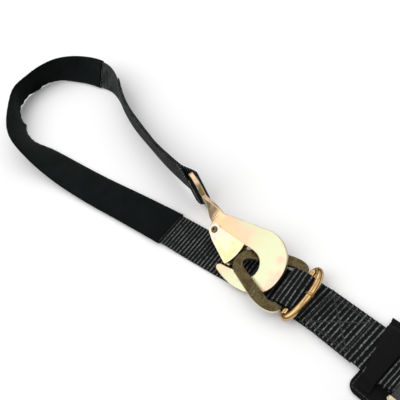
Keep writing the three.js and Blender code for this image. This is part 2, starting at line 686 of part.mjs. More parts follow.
function spoolHalf(sign) {
  const rise = Math.asin(SPOOL_SLOT / 2 / SPOOL_RADIUS);
  const shape = new THREE.Shape().absarc(0, 0, SPOOL_RADIUS, rise, Math.PI - rise);
  const half = upright(shape, 2 * HANDLE_OUT + 8, 0, 20);
  return half.rotateY(sign > 0 ? 0 : Math.PI).translate(SPOOL_X, 0, SPOOL_Z);
}

for (const [side, sign] of Object.entries(SIDES)) {
  add(`frame_plate_${side}`, framePlate(sign * PLATE_Y), zinc, ratchet);
  add(`ratchet_wheel_${side}`, ratchetWheel(sign * WHEEL_Y), brightZinc, ratchet);
  add(`handle_plate_${side}`, handlePlate(sign * HANDLE_Y), zinc, ratchet);
  const washer = rodY(15, WASHER_THICK, SPOOL_RADIUS + GAP);
  const washerY = HANDLE_OUT + 2 * GAP + WASHER_THICK / 2;
  add(`spool_washer_${side}`, washer.translate(SPOOL_X, sign * washerY, SPOOL_Z), brightZinc, ratchet);
}
add("spool_half_upper", spoolHalf(1), brightZinc, ratchet);
add("spool_half_lower", spoolHalf(-1), brightZinc, ratchet);

const between = FRAME_INSIDE - 2 * GAP;
const crossShape = roundedBox(-44, -between / 2, 6, between / 2, 2);
const crossPlate = plate(crossShape, PLATE_THICK, 3).translate(0, 0, FRAME_FOOT + PLATE_THICK / 2);
add("cross_plate", crossPlate, zinc, ratchet);

const outside = FRAME_INSIDE + 2 * PLATE_THICK;
function fixedBolt() {
  const shank = rodY(BOLT_RADIUS, outside + 10, 0, 24).translate(0, -4, 0);
  const head = rodY(9, 6, 0, 6).translate(0, outside / 2 + GAP + 3, 0);
  return shell(solid(shank).add(solid(head))).translate(BOLT_X, 0, BOLT_Z);
}
add("fixed_bolt", fixedBolt(), brightZinc, ratchet);
const nut = rodY(8.6, 6, BOLT_RADIUS + GAP, 12).translate(BOLT_X, -outside / 2 - GAP - 3, BOLT_Z);
add("bolt_nut", nut, brightZinc, ratchet);
add("bolt_spacer", rodY(SPACER_RADIUS, between, BOLT_RADIUS + GAP, 24).translate(BOLT_X, 0, BOLT_Z),
  springSteel, ratchet);

const lockShape = roundedBox(LOCK_TIP - LOCK_LENGTH, -PAWL_REACH, LOCK_TIP, PAWL_REACH, 1);
add("lock_pawl", plate(lockShape, PAWL_THICK, 2).translate(0, 0, SPOOL_Z), brightZinc, ratchet);
const springBar = rodY(PIN_RADIUS, outside, 0, 16).translate(LOCK_BAR_X, 0, SPOOL_Z);
add("spring_bar", springBar, brightZinc, ratchet);

// A coil spring along +X from the origin.
class Helix extends THREE.Curve {
  constructor(radius, length, turns) {
    super();
    Object.assign(this, { radius, length, turns });
  }

  getPoint(t, target = new THREE.Vector3()) {
    const angle = 2 * Math.PI * this.turns * t;
    return target.set(this.length * t, this.radius * Math.cos(angle), this.radius * Math.sin(angle));
  }
}

function coil(radius, wire, length, turns) {
  const section = new THREE.Shape().absarc(0, 0, wire / 2, 0, 2 * Math.PI);
  const points = new THREE.Shape(distinct(section.getPoints(3)));
  const extrudePath = new Helix(radius, length - wire, turns);
  const options = { steps: turns * 10, extrudePath };
  return new THREE.ExtrudeGeometry(points, options).translate(wire / 2, 0, 0);
}
const lockSpringFrom = LOCK_BAR_X + PIN_RADIUS + 2 * GAP;
const lockSpringRoom = LOCK_TIP - LOCK_LENGTH - 2 * GAP - lockSpringFrom;
const lockSpring = coil(3.6, 1.2, lockSpringRoom, 5).translate(lockSpringFrom, 0, SPOOL_Z);
add("lock_spring", lockSpring, springSteel, ratchet);

const driveShape = roundedBox(DRIVE_TIP, -HANDLE_OUT - 2, DRIVE_TIP + DRIVE_LENGTH, HANDLE_OUT + 2, 1);
const drivePlate = plate(driveShape, PAWL_THICK, 2).rotateY(-DRIVE_LINE).translate(SPOOL_X, 0, SPOOL_Z);
add("drive_pawl", drivePlate, brightZinc, ratchet);
const seat = drivePoint(SEAT_REACH, 0);
const seatPin = rodY(PIN_RADIUS, 2 * HANDLE_OUT, 0, 16).translate(seat.x, 0, seat.y);
add("spring_seat", seatPin, brightZinc, ratchet);
const driveSpringFrom = DRIVE_TIP + DRIVE_LENGTH + 2 * GAP;
const driveSpringLength = SEAT_REACH - PIN_RADIUS - 2 * GAP - driveSpringFrom;
const driveSpring = coil(3.6, 1.2, driveSpringLength, 5).translate(driveSpringFrom, 0, 0);
driveSpring.rotateY(-DRIVE_LINE).translate(SPOOL_X, 0, SPOOL_Z);
add("drive_spring", driveSpring, springSteel, ratchet);

function handleGrip() {
  const inside = 2 * (HANDLE_OUT - HANDLE_THICK - GAP);
  const back = SPOOL_X - HANDLE_REACH;
  return upright(roundedBox(back + 1, 42.5, back + 30, 55, 5), inside, 0, 5);
}
add("handle_grip", handleGrip(), gripCoat, ratchet);

export default group;
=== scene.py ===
"""Ratchet tie down: webbing, sleeve, snap hook, rings and ratchet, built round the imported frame."""
import json
import math

import bmesh
import bpy
from mathutils import Matrix, Vector, noise


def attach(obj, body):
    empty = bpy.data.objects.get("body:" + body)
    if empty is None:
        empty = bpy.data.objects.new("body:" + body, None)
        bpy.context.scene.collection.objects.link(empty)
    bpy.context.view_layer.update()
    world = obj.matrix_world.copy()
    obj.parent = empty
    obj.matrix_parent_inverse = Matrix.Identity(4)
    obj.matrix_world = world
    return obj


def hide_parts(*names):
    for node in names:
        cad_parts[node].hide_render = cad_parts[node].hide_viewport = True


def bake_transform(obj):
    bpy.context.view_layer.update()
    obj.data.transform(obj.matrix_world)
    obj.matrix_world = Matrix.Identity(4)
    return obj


bl_info = {
    "name": "Ratchet Tie Down",
    "version": (1, 0, 0),
    "blender": (4, 5, 0),
    "location": "View3D > Sidebar > Tie Down",
    "description": "Builds the webbing, hardware and stage of a ratchet tie down",
    "category": "Object",
}

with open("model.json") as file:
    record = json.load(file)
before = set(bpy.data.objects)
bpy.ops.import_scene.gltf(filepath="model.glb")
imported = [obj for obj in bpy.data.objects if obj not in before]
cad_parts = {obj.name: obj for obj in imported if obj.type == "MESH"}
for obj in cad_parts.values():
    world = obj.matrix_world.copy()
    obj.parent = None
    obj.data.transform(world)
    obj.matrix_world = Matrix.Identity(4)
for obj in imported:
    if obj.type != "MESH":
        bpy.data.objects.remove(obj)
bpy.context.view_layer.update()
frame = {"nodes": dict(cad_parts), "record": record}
NODES = frame["nodes"]
MM = 0.001
ROOT = "strap_and_frame"

# ---- places and sizes repeated from the part, in millimetres ----
FLOOR = 0.2
RIGHT_TURN = math.radians(-8.8)
RATCHET_TURN = Matrix.Rotation(RIGHT_TURN, 4, "Z")
# Half width and half thickness of one ply, of the sleeve and of two plies.
BARE = (25, 1.25)
PADDED = (27, 3.7)
DOUBLE = (25, 2.65)
# The axle strap's course: x, y, lift above the floor, lean in degrees, and what lies there.
STATIONS = [
    (-144, 22.3, 0, 0, BARE), (-172, 26.6, 0, 0, BARE), (-200, 30.6, 0, 0, BARE),
    (-228, 32.4, 0, 0, BARE), (-260, 32, 0, 0, BARE), (-300, 31, 0, 0, BARE),
    (-345, 30.4, 0, 0, BARE), (-392, 30.4, 0.3, 0, BARE), (-441, 30.6, 0, 0, PADDED),
    (-528, 30, 0, 0, PADDED), (-613, 28.5, 0, 1, PADDED), (-698, 29.5, 0, 6, PADDED),
    (-782, 33, 0, 25, PADDED), (-857, 40, 0.3, 58, PADDED), (-932, 74, 0.4, 90, PADDED),
    (-997, 119, 0.2, 112, PADDED), (-1007, 169, 0, 116, PADDED), (-979, 208, 0, 99, PADDED),
    (-937, 229, 0, 70, PADDED), (-890, 242, 0, 49, PADDED), (-839, 241, 0, 51, PADDED),
    (-795, 234, 0, 64, DOUBLE), (-752, 216, 0, 71, DOUBLE), (-706, 189, 0, 78, DOUBLE),
    (-654, 164, 0, 83, DOUBLE), (-596, 142, 0, 87, DOUBLE), (-538, 121, 1.5, 90, DOUBLE),
    (-485, 105, 6.5, 90, DOUBLE), (-453, 96.2, 9.7, 90, DOUBLE), (-425, 89, 10, 90, DOUBLE),
]
SLEEVE_FROM = 8
SLEEVE_TO = 20
RETURN_END = 21
EYE_OFFSET = 7.8
PLY_OFFSET = 1.4
SPLIT = 34
TAIL_Z = 4.25
OVER_Z = 7.05
PAD_Z = 5.55
PLY = 2.8
ROLL_TOP = 17.4
ROLL_TURN_X = -243.5
BOLT = (-72, 22)
BOLT_LOOP = 9.85
DEE_BAR = Vector((-229.5, 33.5, 10.5))
DEE_TILT = math.radians(32)
DEE_DEPTH = 19

# ---- sewing and cloth, in millimetres unless a name ends in _M ----
RING_Y = 33.5
SWING_FROM = -236
SWING_OVER = 36
PLY_TOP = 1.25
STITCH_LIFT = 0.1
BOX_RUN = (-203, -150)
BOX_SIDE = 21
BOX_INSETS = (0.0, 2.4)
EYE_ROWS = (-19, -11, -3.5, 3.5, 11, 19)
EYE_PITCH_M = 0.0048
PAD_TOP = 4.1
PAD_STITCH_X = (-130, 112)
PAD_STITCH_Y = 42
FLAP_WIDTH = 76
FLAP_START = -133.5
FLAP_END = -113.2
FLAP_SKEW = 0.24
# Each pucker of the sleeve's inner edge: its station, its width in stations and its size.
PUCKERS = ((13.95, 0.20, 1.0), (15.95, 0.22, 1.1), (15.2, 0.16, 0.35))
BEND_STATION = 14.9
BEND_WIDTH = 2.2

# ---- camera ----
CAMERA_RIGHT = Vector((0.7051, 0.6253, -0.3337))
CAMERA_UP = Vector((-0.3250, 0.7035, 0.6316))
CAMERA_PLACE = (0.0018, -0.1451, 0.490)
CAMERA_LENS = 44.46
STAGE_MIDDLE = Vector((-0.4, 0.05, 0))


# ---- user settings ----
class WebbingSettings(bpy.types.PropertyGroup):
    width: bpy.props.FloatProperty(
        name="Width", description="Width of the webbing", default=0.05, min=0.02, unit="LENGTH")
    thickness: bpy.props.FloatProperty(
        name="Thickness", description="Thickness of one ply", default=0.0025, unit="LENGTH")
    rib_pitch: bpy.props.FloatProperty(
        name="Rib pitch", description="Distance between the ribs", default=0.0056, unit="LENGTH")
    color: bpy.props.FloatVectorProperty(
        name="Colour", description="Colour of the yarn", default=(0.0042, 0.0048, 0.005),
        size=3, subtype="COLOR")
    rib_depth: bpy.props.FloatProperty(
        name="Rib depth", description="Depth of the grooves between the ribs", default=0.00045,
        unit="LENGTH")
    # The glint is a painted highlight: the lighter colour laid on the crests of the ribs where light
    # would catch them.
    glint: bpy.props.FloatVectorProperty(
        name="Glint", description="Colour on the crests of the ribs", default=(0.27, 0.285, 0.275),
        size=3, subtype="COLOR")


class SleeveSettings(bpy.types.PropertyGroup):
    width: bpy.props.FloatProperty(
        name="Width", description="Width of the flat sleeve", default=0.054, unit="LENGTH")
    thickness: bpy.props.FloatProperty(
        name="Thickness", description="Thickness over both walls", default=0.0074, unit="LENGTH")
    wall: bpy.props.FloatProperty(
        name="Wall", description="Thickness of the cloth", default=0.0009, unit="LENGTH")
    pucker: bpy.props.FloatProperty(
        name="Pucker", description="How far the inner edge buckles in the bend", default=0.0062,
        unit="LENGTH")
    color: bpy.props.FloatVectorProperty(
        name="Colour", description="Colour of the cloth", default=(0.0022, 0.0036, 0.0034),
        size=3, subtype="COLOR")


class HardwareSettings(bpy.types.PropertyGroup):
    edge: bpy.props.FloatProperty(
        name="Edge", description="Rounding of stamped edges", default=0.0006, unit="LENGTH")
    zinc: bpy.props.FloatVectorProperty(
        name="Yellow zinc", description="Colour of the hook and plates",
        default=(0.70, 0.56, 0.30), size=3, subtype="COLOR")
    olive: bpy.props.FloatVectorProperty(
        name="Olive zinc", description="Colour of the delta ring",
        default=(0.150, 0.118, 0.052), size=3, subtype="COLOR")
    gold: bpy.props.FloatVectorProperty(
        name="Gold plate", description="Colour of the dee ring",
        default=(0.62, 0.42, 0.20), size=3, subtype="COLOR")


class StageSettings(bpy.types.PropertyGroup):
    floor_color: bpy.props.FloatVectorProperty(
        name="Floor", description="Colour of the floor", default=(0.93, 0.93, 0.93),
        size=3, subtype="COLOR")
    key_power: bpy.props.FloatProperty(
        name="Key light", description="Power of the large soft light", default=17.5, unit="POWER")
    sky: bpy.props.FloatProperty(
        name="Sky", description="Strength of the even light all round", default=0.85)


# ---- shader values written as expressions ----
class Value:
    """A socket that carries a number. Python's operators on it add Math nodes."""

    def __init__(self, paint, socket):
        self.paint = paint
        self.socket = socket

    def __add__(self, other):
        return self.paint.math("ADD", self, other)

    __radd__ = __add__

    def __sub__(self, other):
        return self.paint.math("SUBTRACT", self, other)

    def __rsub__(self, other):
        return self.paint.math("SUBTRACT", other, self)

    def __mul__(self, other):
        return self.paint.math("MULTIPLY", self, other)

    __rmul__ = __mul__


class Paint:
    """The node tree of one material."""

    def __init__(self, name, **constants):
        self.material = bpy.data.materials.new(name)
        self.material.use_nodes = True
        self.tree = self.material.node_tree
        self.shader = self.tree.nodes["Principled BSDF"]
        for socket, value in constants.items():
            self.shader.inputs[socket.replace("_", " ")].default_value = value

    def node(self, kind, settings=None, sockets=None):
        made = self.tree.nodes.new(kind)
        for key, value in (settings or {}).items():
            if key == "stops":
                self.set_stops(made.color_ramp, value)
            else:
                setattr(made, key, value)
        for key, value in (sockets or {}).items():
            self.plug(made.inputs[key], value)
        return made

    def set_stops(self, ramp, stops):
        while len(ramp.elements) < len(stops):
            ramp.elements.new(0.5)
        for element, (place, color) in zip(ramp.elements, stops):
            element.position = place
            element.color = (*color, 1)

    def plug(self, target, value):
        if isinstance(value, Value):
            value = value.socket
        if isinstance(value, bpy.types.NodeSocket):
            self.tree.links.new(value, target)
        elif target.type == "RGBA" and len(value) == 3:
            target.default_value = (*value, 1)
        else:
            target.default_value = value

    def math(self, operation, first, second=None):
        sockets = {0: first} if second is None else {0: first, 1: second}
        made = self.node("ShaderNodeMath", {"operation": operation}, sockets)
        return Value(self, made.outputs[0])

    def step(self, value, low, high):
        sockets = {"Value": value, "From Min": low, "From Max": high}
        made = self.node("ShaderNodeMapRange", {"interpolation_type": "SMOOTHSTEP"}, sockets)
        return Value(self, made.outputs["Result"])

    def wave(self, value, pitch, shift=0.0):
        """A ripple from 0 to 1 with that pitch."""
        return self.math("SINE", value * (2 * math.pi / pitch) + shift) * 0.5 + 0.5

    def place(self, turn=0.0, scale=(1, 1, 1)):
        made = self.node("ShaderNodeTexCoord")
        turned = self.node("ShaderNodeMapping", None, {
            "Vector": made.outputs["Object"], "Rotation": (0, 0, turn), "Scale": scale})
        return turned.outputs["Vector"]

    def along_strap(self):
        """Distance across and along a strap, in metres, from its own map."""
        made = self.node("ShaderNodeUVMap", {"uv_map": "strap"})
        split = self.node("ShaderNodeSeparateXYZ", None, {"Vector": made.outputs["UV"]})
        return Value(self, split.outputs["X"]), Value(self, split.outputs["Y"]), made.outputs["UV"]

    def cloud(self, place, scale, detail=3.0, rough=0.55):
        sockets = {"Vector": place, "Scale": scale, "Detail": detail, "Roughness": rough}
        return Value(self, self.node("ShaderNodeTexNoise", None, sockets).outputs["Fac"])

    def mix(self, share, first, second):
        made = self.node("ShaderNodeMix", {"data_type": "RGBA"})
        self.plug(made.inputs["Factor"], share)
        self.plug(made.inputs[6], first)
        self.plug(made.inputs[7], second)
        return made.outputs[2]

    def ramp(self, value, stops):
        made = self.node("ShaderNodeValToRGB", {"stops": stops}, {"Fac": value})
        return made.outputs["Color"]

    def finish(self, color=None, roughness=None, height=None, depth=0.0002, strength=1.0):
        if color is not None:
            self.plug(self.shader.inputs["Base Color"], color)
        if roughness is not None:
            self.plug(self.shader.inputs["Roughness"], roughness)
        if height is not None:
            bump = self.node("ShaderNodeBump", None, {
                "Height": height, "Distance": depth, "Strength": strength})
            self.plug(self.shader.inputs["Normal"], bump.outputs["Normal"])
        return self.material


MADE = {}


def material(name):
    """The finish of that name, made once."""
    if name not in MADE:
        MADE[name] = MAKERS[name](name)
    return MADE[name]


def make_webbing(name):
    look = bpy.context.scene.tie_webbing
    paint = Paint(name, Sheen_Weight=0.02, Sheen_Roughness=0.4, Specular_IOR_Level=0.1)
    across, along, uv = paint.along_strap()
    rib = paint.wave(along, look.rib_pitch)
    yarn = paint.wave(across + paint.cloud(uv, 300.0, 1.0) * 0.0004, 0.0015)
    strand = paint.wave(across + along * 0.6, 0.0008)
    fuzz = paint.cloud(uv, 950.0, 3.0)
    speck = paint.cloud(uv, 420.0, 2.0)
    height = rib * (yarn * 0.3 + 0.4) + strand * 0.12 + fuzz * 0.25
    # Painted highlight: the rib crests take the lighter glint colour where light would catch them. It
    # is at full strength in random patches and weaker between them, and the crest mask also makes the
    # crests a little glossier.
    crest = paint.step(rib * (yarn * 0.22 + 0.78) + fuzz * 0.4 + speck * 0.95, 1.28, 1.8)
    glint_patches = paint.step(paint.cloud(uv, 38.0, 4.0), 0.36, 0.62)
    color = paint.mix(crest * (glint_patches * 0.55 + 0.45), tuple(look.color), tuple(look.glint))
    return paint.finish(color, 0.8 - crest * 0.25, height, 0.0007, 1.0)


def make_sleeve(name):
    look = bpy.context.scene.tie_sleeve
    paint = Paint(name, Sheen_Weight=0.02, Sheen_Roughness=0.5, Specular_IOR_Level=0.06)
    across, along, uv = paint.along_strap()
    warp = paint.wave(across, 0.0012)
    weft = paint.wave(along, 0.0012, 1.57)
    weave = warp * weft + (1 - warp) * (1 - weft)
    slub = paint.cloud(uv, 420.0, 3.0)
    rumple = paint.cloud(uv, 28.0, 3.0)
    light = tuple(channel * 1.9 for channel in look.color)
    tone = paint.step(rumple + slub * 0.35, 0.45, 0.95)
    color = paint.mix(tone, tuple(look.color), light)
    return paint.finish(color, 0.93 - slub * 0.1, weave * 0.5 + slub * 0.5 + rumple, 0.0004, 0.8)


def make_pad(name):
    paint = Paint(name, Sheen_Weight=0.02, Specular_IOR_Level=0.06)
    place = paint.place()
    fibre = paint.cloud(place, 700.0, 5.0)
    patch = paint.cloud(place, 45.0, 3.0)
    color = paint.mix(fibre, (0.0035, 0.0036, 0.0036), (0.0115, 0.0105, 0.011))
    return paint.finish(color, 0.9 - patch * 0.08, fibre + patch, 0.0006, 0.8)


def make_thread(name):
    paint = Paint(name, Specular_IOR_Level=0.3)
    # Painted highlight: this noise mixes near-black with a lighter grey, and the lighter specks stand
    # in for light catching each stitch. The same noise also sets the thread's bumps and roughness.
    twist_and_glint = paint.cloud(paint.place(), 2600.0, 2.0)
    color = paint.mix(twist_and_glint, (0.003, 0.003, 0.003), (0.07, 0.074, 0.07))
    return paint.finish(color, 0.7 - twist_and_glint * 0.1, twist_and_glint, 0.0002)


def plated(name, stops, rough, scale, drift=None, walls=None, relief=0.5):
    """A zinc plated finish: a bloom of tints over brushed steel, with fine scratches. A drift
    takes the tints in order along X, and walls is the colour laid on faces that stand steep: a
    painted highlight along the olive ring's edges, and a darker yellow on the hook's walls. On
    the gold plate the bloom's dark and pale patches are partly painted reflection."""
    paint = Paint(name, Metallic=1.0)
    place = paint.place()
    bloom = paint.cloud(place, scale, 3.0, 0.6)
    speck = paint.cloud(place, 1500.0, 3.0)
    brushed = paint.cloud(paint.place(scale=(1, 14, 14)), 90.0, 4.0)
    spots = paint.step(paint.cloud(place, 240.0, 2.0), 0.62, 0.8)
    level = bloom * 0.9 + speck * 0.06 + 0.02
    if drift:
        split = paint.node("ShaderNodeSeparateXYZ", None, {"Vector": place})
        along = Value(paint, split.outputs["X"])
        level = level * 0.62 + (along - drift[0]) * (0.5 / (drift[1] - drift[0])) - 0.06
    tint = paint.ramp(level, stops)
    dull = tuple(channel * 0.72 for channel in stops[0][1])
    color = paint.mix(spots * 0.35, tint, dull)
    # Steep faces take the walls colour: on the olive ring a painted highlight along the edges, on the
    # hook a darker yellow.
    if walls:
        side = paint.node("ShaderNodeAttribute", {"attribute_name": "wall"})
        color = paint.mix(Value(paint, side.outputs["Fac"]), color, walls)
    roughness = brushed * 0.1 + speck * 0.06 + spots * 0.12 + rough
    return paint.finish(color, roughness, brushed * 0.5 + speck * 0.5, 0.00008, relief)


def tinted(base, places_and_shares):
    """Ramp stops from one base colour: each is a place and a share of red, green and blue."""
    stops = []
    for place, shares in places_and_shares:
        stops.append((place, tuple(min(1, value * share) for value, share in zip(base, shares))))
    return stops


def zinc_stops(base):
    """Peach, yellow, pale green and pink, round one base colour."""
    return tinted(base, (
        (0.28, (1.02, 0.88, 1.08)), (0.38, (1.04, 0.96, 0.98)), (0.46, (0.98, 0.90, 1.16)),
        (0.54, (0.88, 1.04, 1.28)), (0.62, (0.84, 1.10, 1.36)), (0.69, (0.98, 0.87, 1.24)),
        (0.80, (1.06, 1.10, 0.92))))


def make_zinc(name):
    return plated(name, zinc_stops(tuple(bpy.context.scene.tie_hardware.zinc)), 0.30, 26.0)


def make_hook_zinc(name):
    stops = zinc_stops(tuple(bpy.context.scene.tie_hardware.zinc))
    return plated(name, stops, 0.28, 24.0, drift=(-0.42, -0.232), walls=(0.55, 0.46, 0.27))


def make_bright(name):
    stops = [(0.34, (0.66, 0.61, 0.54)), (0.48, (0.71, 0.65, 0.46)), (0.62, (0.75, 0.57, 0.22))]
    return plated(name, stops, 0.24, 22.0)


def make_olive(name):
    stops = tinted(tuple(bpy.context.scene.tie_hardware.olive), (
        (0.32, (0.95, 0.66, 0.85)), (0.42, (0.58, 0.56, 0.58)), (0.51, (1.1, 1.1, 1.15)),
        (0.59, (0.62, 0.64, 0.75)), (0.70, (1.4, 1.45, 1.7))))
    # The walls colour is a painted highlight: a pale line along the ring's steep edges where light
    # would catch them.
    return plated(name, stops, 0.18, 90.0, walls=(0.80, 0.76, 0.55))


def make_gold(name):
    # The gold's dark and pale patches are partly painted reflection, standing in for the dark and
    # bright reflections on the polished wire, and partly the plating's own uneven tone.
    stops = tinted(tuple(bpy.context.scene.tie_hardware.gold), (
        (0.32, (0.62, 0.52, 0.44)), (0.45, (0.95, 0.93, 0.86)), (0.54, (0.80, 0.76, 0.68)),
        (0.66, (1.15, 1.2, 1.35))))
    return plated(name, stops, 0.03, 45.0, relief=0.05)


def make_spring(name):
    stops = [(0.3, (0.42, 0.42, 0.43)), (0.7, (0.58, 0.57, 0.55))]
    return plated(name, stops, 0.28, 120.0)


def make_grip(name):
    paint = Paint(name, Specular_IOR_Level=0.45)
    place = paint.place(-RIGHT_TURN)
    split = paint.node("ShaderNodeSeparateXYZ", None, {"Vector": place})
    ridge = paint.step(paint.wave(Value(paint, split.outputs["Y"]), 0.005), 0.3, 0.7)
    grain = paint.cloud(place, 1400.0, 3.0)
    color = paint.mix(grain, (0.014, 0.014, 0.015), (0.035, 0.035, 0.036))
    return paint.finish(color, 0.55 + grain * 0.15, ridge + grain * 0.15, 0.0005)


MAKERS = {
    "woven_webbing": make_webbing,
    "sleeve_cloth": make_sleeve,
    "pad_felt": make_pad,
    "sewing_thread": make_thread,
    "yellow_zinc": make_zinc,
    "hook_zinc": make_hook_zinc,
    "bright_zinc": make_bright,
    "olive_zinc": make_olive,
    "gold_plate": make_gold,
    "spring_steel": make_spring,
    "grip_rubber": make_grip,
}
FINISHES = {
    "webbing": "woven_webbing", "sleeve_cloth": "sleeve_cloth", "pad_cloth": "pad_felt",
    "yellow_zinc": "yellow_zinc", "bright_zinc": "bright_zinc", "olive_zinc": "olive_zinc",
    "gold_plate": "gold_plate", "spring_steel": "spring_steel", "grip_rubber": "grip_rubber",
}
SLOTS = {part["node"]: part["material_slot"] for part in frame["record"]["subparts"]}
BODIES = {}
for body_name, members in frame["record"]["behaviour"]["bodies"].items():
    for member in members:
        BODIES[member] = body_name


# ---- the course of a strap ----
def eased(share):
    """A smooth rise from 0 to 1 as the share goes from 0 to 1, and flat beyond."""
    share = min(max(share, 0), 1)
    return share * share * (3 - 2 * share)


def smooth_line(points, t):
    """A point on the smooth curve through the points, with t from 0 to 1."""
    last = len(points) - 1
    place = last * min(max(t, 0.0), 1.0)
    i = min(int(place), last - 1)
    w = place - i
    before = points[i - 1] if i > 0 else points[0] * 2 - points[1]
    after = points[i + 2] if i + 2 <= last else points[last] * 2 - points[last - 1]
    start, end = points[i], points[i + 1]
    leave = (end - before) * 0.5
    arrive = (after - start) * 0.5
    cubic = (start - end) * 2 + leave + arrive
    square = (end - start) * 3 - leave * 2 - arrive
    return cubic * w ** 3 + square * w ** 2 + leave * w + start


def station_point(station):
    x, y, lift, lean, (half_width, half_thick) = station
    angle = math.radians(lean)
    rest = half_width * math.sin(angle) + half_thick * abs(math.cos(angle))
    return Vector((x, y, FLOOR + lift + rest))


COURSE = [station_point(station) for station in STATIONS]
LEANS = [Vector((station[3], 0, 0)) for station in STATIONS]


class Frame:
    """A place on a strap: its middle, the ways along and across it, and its face."""

    def __init__(self, centre, along, across, face, station=0.0):
        self.centre = centre
        self.along = along
        self.across = across
        self.face = face
        self.station = station
        self.spread = 1
        self.travelled = 0.0


def course_frame(station):
    t = station / (len(STATIONS) - 1)
    along = (smooth_line(COURSE, t + 1e-4) - smooth_line(COURSE, t - 1e-4)).normalized()
    lean = math.radians(smooth_line(LEANS, t).x)
    across = Vector((-along.y, along.x, 0)).normalized() * math.cos(lean)
    across += Vector((0, 0, math.sin(lean)))
    across = (across - along * across.dot(along)).normalized()
    return Frame(smooth_line(COURSE, t), along, across, along.cross(across), station)


def course_frames(start, end, spacing, offset=None):
    """Frames between two stations of the course, about a spacing apart in millimetres."""
    frames = []
    station = start
    while station < end + 1e-6:
        spot = course_frame(station)
        if offset:
            spot.centre = spot.centre + spot.face * offset(spot.centre)
        frames.append(spot)
        leg = min(int(station), len(COURSE) - 2)
        ahead = station + spacing / (COURSE[leg + 1] - COURSE[leg]).length
        station = end if station < end - 1e-6 < ahead + 1e-4 else ahead
    return frames


EYE_END = course_frame(len(STATIONS) - 1)


def ply_spread(centre):
    """How far a ply lies from the middle of the pair: wide at the eye, close further along."""
    away = (centre - EYE_END.centre).length / SPLIT
    return EYE_OFFSET + (PLY_OFFSET - EYE_OFFSET) * eased(away)


def outbound_offset(centre):
    start = course_frame(SLEEVE_TO).centre
    paired = course_frame(RETURN_END + 1).centre
    share = min(max((centre.x - start.x) / (paired.x - start.x), 0), 1)
    past_sleeve = centre.y > EYE_END.centre.y - 1 and centre.x > start.x
    return share * ply_spread(centre) if past_sleeve else 0


def turn_frame(angle):
    end = EYE_END
    radial = end.face * math.cos(angle) + end.along * math.sin(angle)
    forward = end.along * math.cos(angle) - end.face * math.sin(angle)
    return Frame(end.centre + radial * EYE_OFFSET, forward, end.across, radial, end.station)


def axle_frames(spacing=1.2):
    last = len(STATIONS) - 1
    outbound = course_frames(0, last, spacing, outbound_offset)
    turn = [turn_frame(i * math.pi / 20) for i in range(1, 20)]
    back = course_frames(RETURN_END + 1, last, spacing, lambda centre: -ply_spread(centre))
    for spot in back:
        spot.along = -spot.along
        spot.face = -spot.face
    return outbound + turn + back[::-1]


def strap_plan(x):
    """The y of the ratchet strap's middle: square to the rings, then in line with the ratchet."""
    ease = eased((x - SWING_FROM) / SWING_OVER)
    return (1 - ease) * RING_Y + ease * math.tan(RIGHT_TURN) * x


def arc_points(centre, radius, start, end, count):
    points = []
    for i in range(count + 1):
        angle = start + (end - start) * i / count
        points.append((centre[0] + radius * math.cos(angle), centre[1] + radius * math.sin(angle)))
    return points


def ratchet_side():
    """The ratchet strap seen from the side: x and z of the middle of the webbing."""
    bolt_x = BOLT[0] * math.cos(RIGHT_TURN)
    bolt_loop = arc_points((bolt_x, BOLT[1]), BOLT_LOOP, 0.75 * math.pi, -0.6 * math.pi, 12)
    middle = (ROLL_TOP + TAIL_Z) / 2
    roll = arc_points((ROLL_TURN_X, middle), ROLL_TOP - middle, math.pi / 2, 1.5 * math.pi, 8)
    rise = [(-127, PAD_Z + PLY + 0.1), (-120, PAD_Z + PLY), (-110, PAD_Z + PLY + 0.6), (-100, 13.4),
            (-88, 22)]
    run = [(-84, 10), (-94, 7), (-106, PAD_Z), (-118, PAD_Z), (-130, PAD_Z + 0.4)]
    over = [(x, OVER_Z) for x in (-142, -156, -170, -184)]
    climb = [(-202, OVER_Z + 0.3), (-210, 8.3), (-216.5, 10.2), (-221.5, 12.9), (-226, 15.7),
             (-230, ROLL_TOP), (-236, ROLL_TOP + 0.2)]
    tail = [(x, TAIL_Z) for x in (-234, -224, -214, -204, -196, -184, -170, -156, -146)]
    return rise + bolt_loop + run + over + climb + roll + tail


def ratchet_frames(spacing=1.0):
    side = [Vector((x, 0, z)) for x, z in ratchet_side()]
    places = []
    for leg, (start, end) in enumerate(zip(side, side[1:])):
        count = max(round((end - start).length / spacing), 2)
        places += [(leg + i / count) / (len(side) - 1) for i in range(count)]
    places.append(1.0)
    frames = []
    for t in places:
        spot = smooth_line(side, t)
        way = smooth_line(side, t + 1e-4) - smooth_line(side, t - 1e-4)
        slope = strap_plan(spot.x + 0.5) - strap_plan(spot.x - 0.5)
        across = Vector((slope, -1, 0)).normalized()
        along = Vector((way.x, way.x * slope, way.z)).normalized()
        centre = Vector((spot.x, strap_plan(spot.x), spot.z))
        made = Frame(centre, along, across, along.cross(across))
        made.spread = 1 - 0.07 * min(max((-205 - spot.x) / 8, 0), 1)
        frames.append(made)
    return frames


# ---- meshes along a strap ----
def web_section(width, thick, count=18):
    """Half heights across webbing, with rounded selvedges: pairs of offset and half height."""
    half = width / 2
    edge = thick * 0.55
    offsets = [-half + edge * (1 - math.cos(math.pi / 2 * i / 3)) for i in range(3)]
    inner = half - edge
    offsets += [-inner + 2 * inner * i / count for i in range(count + 1)]
    offsets += [-value for value in reversed(offsets[:3])]
    section = []
    for value in offsets:
        beyond = max(abs(value) - inner, 0) / edge
        section.append((value, thick / 2 * max(math.sqrt(max(1 - beyond * beyond, 0)), 0.12)))
    return section


def loop_of(section):
    """The section as one closed loop of offset and height."""
    return [(a, b) for a, b in section] + [(a, -b) for a, b in reversed(section)]


